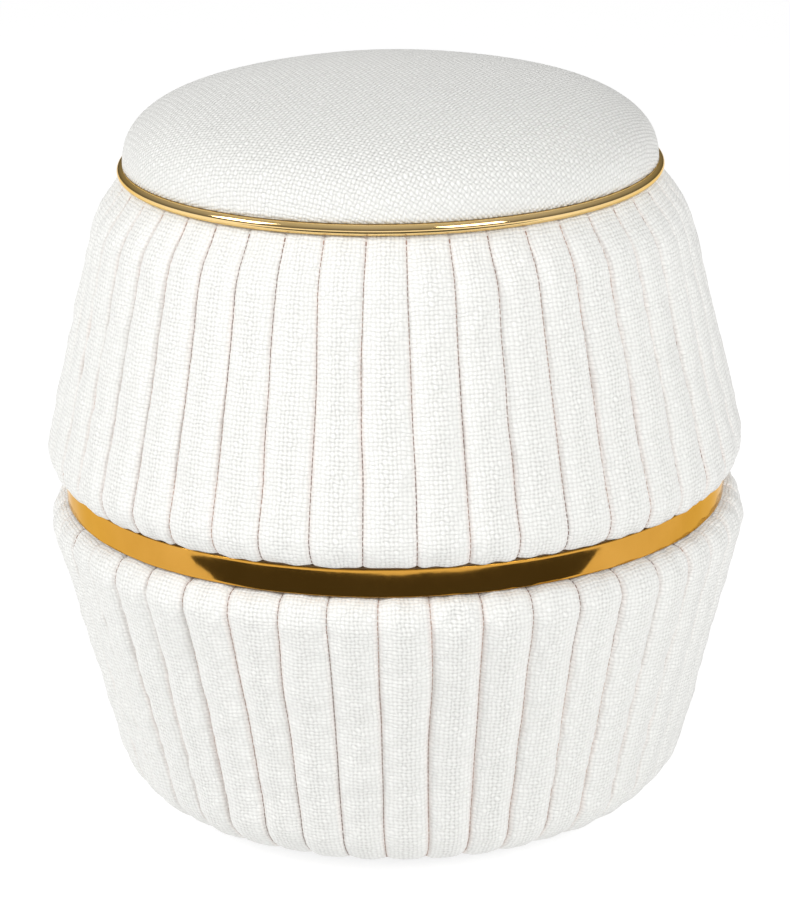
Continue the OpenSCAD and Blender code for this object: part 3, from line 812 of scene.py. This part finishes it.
def make_seat():
    """One domed cushion: a grid laid over the crown, closed below by its hem and its board's recess."""
    reach, angle, distance, radius, height = seat_grid(SEAT_CELLS)
    height = height + seat_lumps(reach, angle) + seat_blown()
    top = np.stack([radius * np.cos(angle), radius * np.sin(angle), height], -1).reshape(-1, 3) * MM
    flat = np.stack([distance * np.cos(angle), distance * np.sin(angle)], -1).reshape(-1, 2) * MM
    index, quads = cells_faces(SEAT_CELLS)
    rim = np.concatenate([index[0, :-1], index[:-1, -1], index[-1, :0:-1], index[:0:-1, 0]])
    below = groove(100, 168, 8) + [(HEM_R, SEAT_Z), (HEM_R, SEAT_Z + COVER_T),
                                   (SEAT_BOARD_R, SEAT_Z + COVER_T), (SEAT_BOARD_R, SEAT_BOARD_TOP)]
    rim_angle = angle.reshape(-1)[rim]
    verts, faces, laid = [top], quads.tolist(), [flat]
    before, total = rim, len(top)
    for radius_mm, z in below:
        ring = np.stack([radius_mm * np.cos(rim_angle), radius_mm * np.sin(rim_angle),
                         np.full(len(rim), z)], 1) * MM
        verts.append(ring)
        laid.append(ring[:, :2])
        now = np.arange(total, total + len(rim))
        faces += np.stack([before, now, np.roll(now, -1), np.roll(before, -1)], 1).tolist()
        before = now
        total += len(rim)
    verts.append(np.array([[0, 0, SEAT_BOARD_TOP]]) * MM)
    laid.append(np.zeros((1, 2)))
    faces += [[a, total, b] for a, b in zip(before.tolist(), np.roll(before, -1).tolist())]
    corners = np.array([i for face in faces for i in face])
    uv = {"weave": np.concatenate(laid)[corners]}
    mesh = build_mesh("seat_cushion", np.concatenate(verts), faces, uv)
    piece = new_object(mesh, material=SEAT_CLOTH)
    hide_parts("seat_cover", "seat_wadding", "seat_foam")


# ---- metalwork

def make_ring():
    """The round rod, bent and brazed shut at the back."""
    around, sides = 480, 40
    angle = np.linspace(0, 2 * np.pi, around, endpoint=False)[:, None]
    section = np.linspace(0, 2 * np.pi, sides, endpoint=False)[None, :]
    from_back = (angle - np.pi) * RING_R
    bead = 0.22 * np.exp(-(from_back / 2.2) ** 2)
    rod = ROD_R + bead
    verts = polar(RING_R + rod * np.cos(section), angle + 0 * section, RING_Z + rod * np.sin(section))
    faces = grid_faces(around, sides, wrap_rows=True, flip=True)
    mesh = build_mesh("brass_ring", verts.reshape(-1, 3), faces)
    piece = new_object(mesh, material=RING_BRASS)
    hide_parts("top_ring")


BAND_CROWN = 0.20        # how much fuller the band's middle is


def make_band():
    """Sheet brass rolled round the waist, a little crowned and uneven, butted at the back."""
    around = 900
    gap = 0.15 / BAND_R
    angle = np.linspace(-np.pi + gap, np.pi - gap, around)[:, None]
    thick, edge = 1.5, 0.45
    turns = np.radians(np.linspace(-90, 0, 6))
    low_edge = [(BAND_R - edge + edge * np.cos(a), BAND_Z + edge + edge * np.sin(a)) for a in turns]
    face = [(BAND_R, z) for z in np.linspace(BAND_Z + edge, BAND_TOP - edge, 14)[1:-1]]
    high_edge = [(r, BAND_Z + BAND_TOP - z) for r, z in reversed(low_edge)]
    section = np.array([(BAND_R - thick, BAND_Z)] + low_edge + face + high_edge
                       + [(BAND_R - thick, BAND_TOP)])
    share = (section[:, 1] - BAND_Z) / (BAND_TOP - BAND_Z)
    outer = (section[:, 0] > BAND_R - thick + 0.1)[None, :]
    rng = np.random.default_rng(3)
    uneven = np.zeros((around, len(section)))
    for cycles, size in ((7, 0.10), (11, 0.08), (19, 0.08), (31, 0.05), (47, 0.03), (73, 0.012)):
        twist = rng.normal(0, 0.25)
        uneven += size * np.sin(cycles * angle + twist * share[None, :] * 2 + rng.uniform(0, 6.28))
    crowned = BAND_CROWN * (1 - (2 * share - 1) ** 2)[None, :]
    radius = section[:, 0][None, :] + outer * (uneven + crowned)
    verts = polar(radius, angle + 0 * radius, section[:, 1][None, :] + 0 * radius)
    quads = grid_faces(around, len(section), flip=True).tolist()
    start = list(range(len(section)))
    end = [(around - 1) * len(section) + i for i in reversed(range(len(section)))]
    mesh = build_mesh("brass_waist_band", verts.reshape(-1, 3), quads + [start, end])
    piece = new_object(mesh, material=BAND_BRASS)
    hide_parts("waist_band")


# ---- the underside

def turned(path, cols, shape):
    """Vertices and faces of a closed piece turned from [radius, height], with a pole at each end.
    shape takes the radii, angles and heights in millimetres and returns the radii."""
    angle = np.linspace(0, 2 * np.pi, cols, endpoint=False)[None, :]
    path = np.asarray(path, float)
    low, high = path[0], path[-1]
    rows = path[1:-1]
    radius = shape(np.broadcast_to(rows[:, :1], (len(rows), cols)), angle, rows[:, 1:])
    around = polar(radius, angle, rows[:, 1:]).reshape(-1, 3)
    verts = np.concatenate([around, [[0, 0, low[1] * MM], [0, 0, high[1] * MM]]])
    faces = grid_faces(len(rows), cols).tolist()
    start, end = len(around), len(around) + 1
    last = (len(rows) - 1) * cols
    faces += [[start, (i + 1) % cols, i] for i in range(cols)]
    faces += [[end, last + i, last + (i + 1) % cols] for i in range(cols)]
    return verts, faces


GLIDE_RING_R = 122.0     # the circle the glides stand on
GLIDE_ANGLES = np.radians([45, 135, 225, 315])
SHANK_R = 4.0
THREAD_PITCH = 1.25
THREAD_DEPTH = 0.62
COLLAR_LOW, COLLAR_HIGH = 9.15, 11.15


def pad_shape(radius, angle, height):
    """Finger notches round the side of a pad."""
    tall = ease(height, 1.6, 2.8) * (1 - ease(height, 5.2, 6.4))
    return radius - 0.7 * np.maximum(0, np.cos(12 * angle)) ** 3 * tall * (radius > 18)


def thread_shape(radius, angle, height):
    """An M8 thread down the shank, fading out at both ends."""
    phase = (height / THREAD_PITCH + angle / (2 * np.pi)) % 1
    cut = np.abs(2 * phase - 1) * ease(height, 12, 13.5) * (1 - ease(height, 34.6, 35.8))
    return radius - THREAD_DEPTH * cut * (height > 11.5) * (height < 35.9)


def hex_shape(radius, angle, height):
    """A hexagon 13 mm across with its corners turned off."""
    flat = 6.5 / np.cos((angle + np.pi / 6) % (np.pi / 3) - np.pi / 6)
    corner = 6.7 + np.minimum(height - COLLAR_LOW, COLLAR_HIGH - height) * 1.7
    return np.where(radius > 5, np.minimum(flat, corner), radius)


def screw_shape(radius, angle, height):
    """The collar's hexagon, and the thread above it."""
    on_collar = (height > COLLAR_LOW - 0.01) & (height < COLLAR_HIGH + 0.01)
    return np.where(on_collar, hex_shape(radius, angle, height), thread_shape(radius, angle, height))


def make_glides():
    """Four nylon pads, and the levelling screw that turns in each."""
    pad = [(0, 0.3), (13, 0.3), (13.6, 0), (18.4, 0), (19.5, 0.2), (20.4, 0.8), (20.85, 1.6)]
    pad += [(21, z) for z in np.linspace(2.4, 5.8, 9)]
    pad += [(20.85, 6.5), (20.4, 7.2), (19.5, 7.8), (18.4, 8), (7.4, 8), (7.0, 7.6), (4.8, 7.6),
            (4.4, 7.4), (4.2, 7.0), (4.2, 4.2), (7.2, 4.2), (7.2, 1.8), (0, 1.8)]
    foot = [(0, 2), (6.6, 2), (7, 2.3), (7, 3.7), (6.6, 4), (4.3, 4), (SHANK_R, 4.3), (SHANK_R, 8.9)]
    shank = [(SHANK_R, z) for z in np.arange(11.2, 35.3, 0.156)] + [(3.4, 35.9), (0, 36)]
    collar = [(7, z) for z in (COLLAR_LOW, 9.45, 9.8, 10.5, 10.85, COLLAR_HIGH)]
    collar = [(SHANK_R, COLLAR_LOW)] + collar + [(SHANK_R, COLLAR_HIGH)]
    reach = GLIDE_RING_R * MM
    for i, turn in enumerate(GLIDE_ANGLES, 1):
        place = Matrix.Translation((reach * np.cos(turn), reach * np.sin(turn), 0))
        mesh = build_mesh(f"nylon_pad_{i}", *turned(pad, 96, pad_shape))
        mesh.transform(place)
        piece = new_object(mesh, body=f"glide_pad_{i}", material=NYLON)
        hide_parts(f"glide_pad_{i}")

        mesh = build_mesh(f"levelling_screw_{i}", *turned(foot + collar + shank, 48, screw_shape))
        mesh.transform(place @ Matrix.Rotation(turn, 4, "Z"))
        piece = new_object(mesh, body=f"glide_screw_{i}", material=STEEL)
        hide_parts(f"glide_screw_{i}")


DUST_HOLE_R = 12.0
STAPLES = 32
STAPLE_RING_R = 132.0
DUST_SHEET_T = 0.4


def make_dust_cover():
    """Thin cloth stapled over the base, with a hole for each glide, slack between its staples."""
    def circle(x, y, r, count):
        turns = np.linspace(0, 2 * np.pi, count, endpoint=False)
        return [(x + r * np.cos(a), y + r * np.sin(a)) for a in turns]

    holes = [(GLIDE_RING_R * np.cos(a), GLIDE_RING_R * np.sin(a)) for a in GLIDE_ANGLES]
    loops = [circle(0, 0, DUST_R, 128)] + [circle(x, y, DUST_HOLE_R, 40) for x, y in holes]
    points, edges = [], []
    for loop in loops:
        first = len(points)
        points += loop
        edges += [(first + i, first + (i + 1) % len(loop)) for i in range(len(loop))]
    for i, x in enumerate(np.arange(-138, 139, 4.5)):
        for y in np.arange(-138, 139, 5.2) + 2.6 * (i % 2):
            clear = all(np.hypot(x - hx, y - hy) > DUST_HOLE_R + 2 for hx, hy in holes)
            if np.hypot(x, y) < DUST_R - 3 and clear:
                points.append((x, y))
    found = delaunay_2d_cdt([Vector(p) for p in points], edges, [], 1, 1e-5)
    flat = np.array([list(p) for p in found[0]])
    triangles = [list(face) for face in found[2]]
    middles = np.array([flat[face].mean(0) for face in triangles])
    kept = np.all([np.hypot(middles[:, 0] - x, middles[:, 1] - y) > DUST_HOLE_R - 0.1
                   for x, y in holes], axis=0)
    triangles = [face for face, keep in zip(triangles, kept) if keep]
    radius, angle = np.hypot(*flat.T), np.arctan2(flat[:, 1], flat[:, 0])
    between = (1 - np.cos(STAPLES * (angle - np.pi / STAPLES))) / 2
    hang = 0.30 * between * np.exp(-((radius - STAPLE_RING_R) / 9) ** 2)
    rumpled = np.sin(flat[:, 0] / 17 + 1) * np.cos(flat[:, 1] / 23) + 1
    slack = 0.16 * rumpled * (1 - ease(radius, 80, 118))
    top = DUST_TOP - 0.05 - hang - slack
    layers = [np.column_stack([flat, top]), np.column_stack([flat, top - DUST_SHEET_T])]
    count = len(flat)
    sides = dict.fromkeys((p, q) for face in triangles for p, q in zip(face, face[1:] + face[:1]))
    rims = [[q, p, p + count, q + count] for p, q in sides if (q, p) not in sides]
    faces = triangles + [[i + count for i in reversed(face)] for face in triangles] + rims
    mesh = build_mesh("dust_cloth_sheet", np.concatenate(layers) * MM, faces)
    piece = new_object(mesh, material=DUST_CLOTH)
    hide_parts("dust_cover")


# ---- the room

def make_camera():
    """A long lens looking down at the front, a touch out of level."""
    eye, pitch, roll = (0.0, -2.0758, 0.9228), 0.3243, -0.0153
    data = bpy.data.cameras.new("camera")
    data.sensor_width = 36.0
    data.lens = 132.6
    camera = in_scene("camera", data)
    look = Matrix.Rotation(np.pi / 2 - pitch, 4, "X") @ Matrix.Rotation(roll, 4, "Z")
    camera.matrix_world = Matrix.Translation(eye) @ look
    bpy.context.scene.camera = camera


def softbox(name, at, target, size, power):
    """A large square lamp, in metres and watts."""
    data = bpy.data.lights.new(name, "AREA")
    data.shape = "RECTANGLE"
    data.size, data.size_y = size
    data.energy = power
    light = in_scene(name, data)
    light.location = at
    light.rotation_euler = (Vector(target) - Vector(at)).to_track_quat("-Z", "Y").to_euler()


def glow(name, level, base=0.0):
    """A surface that gives its own white light and reflects a share of what falls on it."""
    m = Maker(name)
    m.set(colour=(base, base, base, 1), rough=0.9, specular=0.0)
    m.put(m.shader.inputs["Emission Color"], (1, 1, 1, 1))
    m.put(m.shader.inputs["Emission Strength"], level)
    return m.material


def make_world():
    """White behind everything, dimmer as light, and for the brass dark below and bright above."""
    world = bpy.data.worlds.new("studio")
    bpy.context.scene.world = world
    world.use_nodes = True
    tree = world.node_tree
    tree.nodes.clear()

    def background(strength):
        made = tree.nodes.new("ShaderNodeBackground")
        made.inputs["Color"].default_value = (1, 1, 1, 1)
        if isinstance(strength, float):
            made.inputs["Strength"].default_value = strength
        else:
            tree.links.new(strength, made.inputs["Strength"])
        return made.outputs[0]

    def choose(switch, off, on):
        pick = tree.nodes.new("ShaderNodeMixShader")
        for socket, value in zip(pick.inputs, (switch, off, on)):
            tree.links.new(value, socket)
        return pick.outputs[0]

    direction = tree.nodes.new("ShaderNodeTexCoord").outputs["Generated"]
    split = tree.nodes.new("ShaderNodeSeparateXYZ")
    tree.links.new(direction, split.inputs[0])
    rise = tree.nodes.new("ShaderNodeMapRange")
    tree.links.new(split.outputs[2], rise.inputs["Value"])
    for key, value in (("From Min", 0.0), ("From Max", 1.0), ("To Min", 0.12), ("To Max", 0.60)):
        rise.inputs[key].default_value = value
    path = tree.nodes.new("ShaderNodeLightPath")
    lit = choose(path.outputs["Is Glossy Ray"], background(0.56), background(rise.outputs[0]))
    seen = choose(path.outputs["Is Camera Ray"], lit, background(1.0))
    out = tree.nodes.new("ShaderNodeOutputWorld")
    tree.links.new(seen, out.inputs[0])


def make_floor():
    corners = [(-6, -6, 0), (6, -6, 0), (6, 6, 0), (-6, 6, 0)]
    mesh = build_mesh("floor", corners, [[0, 1, 2, 3]])
    floor = new_object(mesh, body=None, material=glow("floor", level=0.80, base=0.3))


def make_flag():
    """One plain dark card, half an oval, on the floor in front, for the brass to pick up."""
    half_width, depth, start, above_floor = 0.80, 0.58, -0.38, 0.001
    turn = np.linspace(0, np.pi, 65)
    verts = np.stack([half_width * np.cos(turn), start - depth * np.sin(turn),
                      np.full(len(turn), above_floor)], -1)
    mesh = build_mesh("dark_card", verts, [list(range(len(verts)))[::-1]])
    card = new_object(mesh, body=None, material=glow("dark_card", level=0.09))
    for ray in ("camera", "diffuse", "shadow", "transmission"):
        setattr(card, f"visible_{ray}", False)


make_camera()
make_world()
make_floor()
softbox("left_box", at=(-2.1, -0.88, 1.75), target=(0, 0, 0.25), size=(1.0, 1.0), power=38)
softbox("right_box", at=(1.32, -1.9, 1.75), target=(0, 0, 0.25), size=(1.1, 1.1), power=34)
make_flag()
finish_cad_nodes()
make_drums()
make_seat()
make_ring()
make_band()
make_glides()
make_dust_cover()
bpy.context.scene.view_settings.view_transform = "Standard"
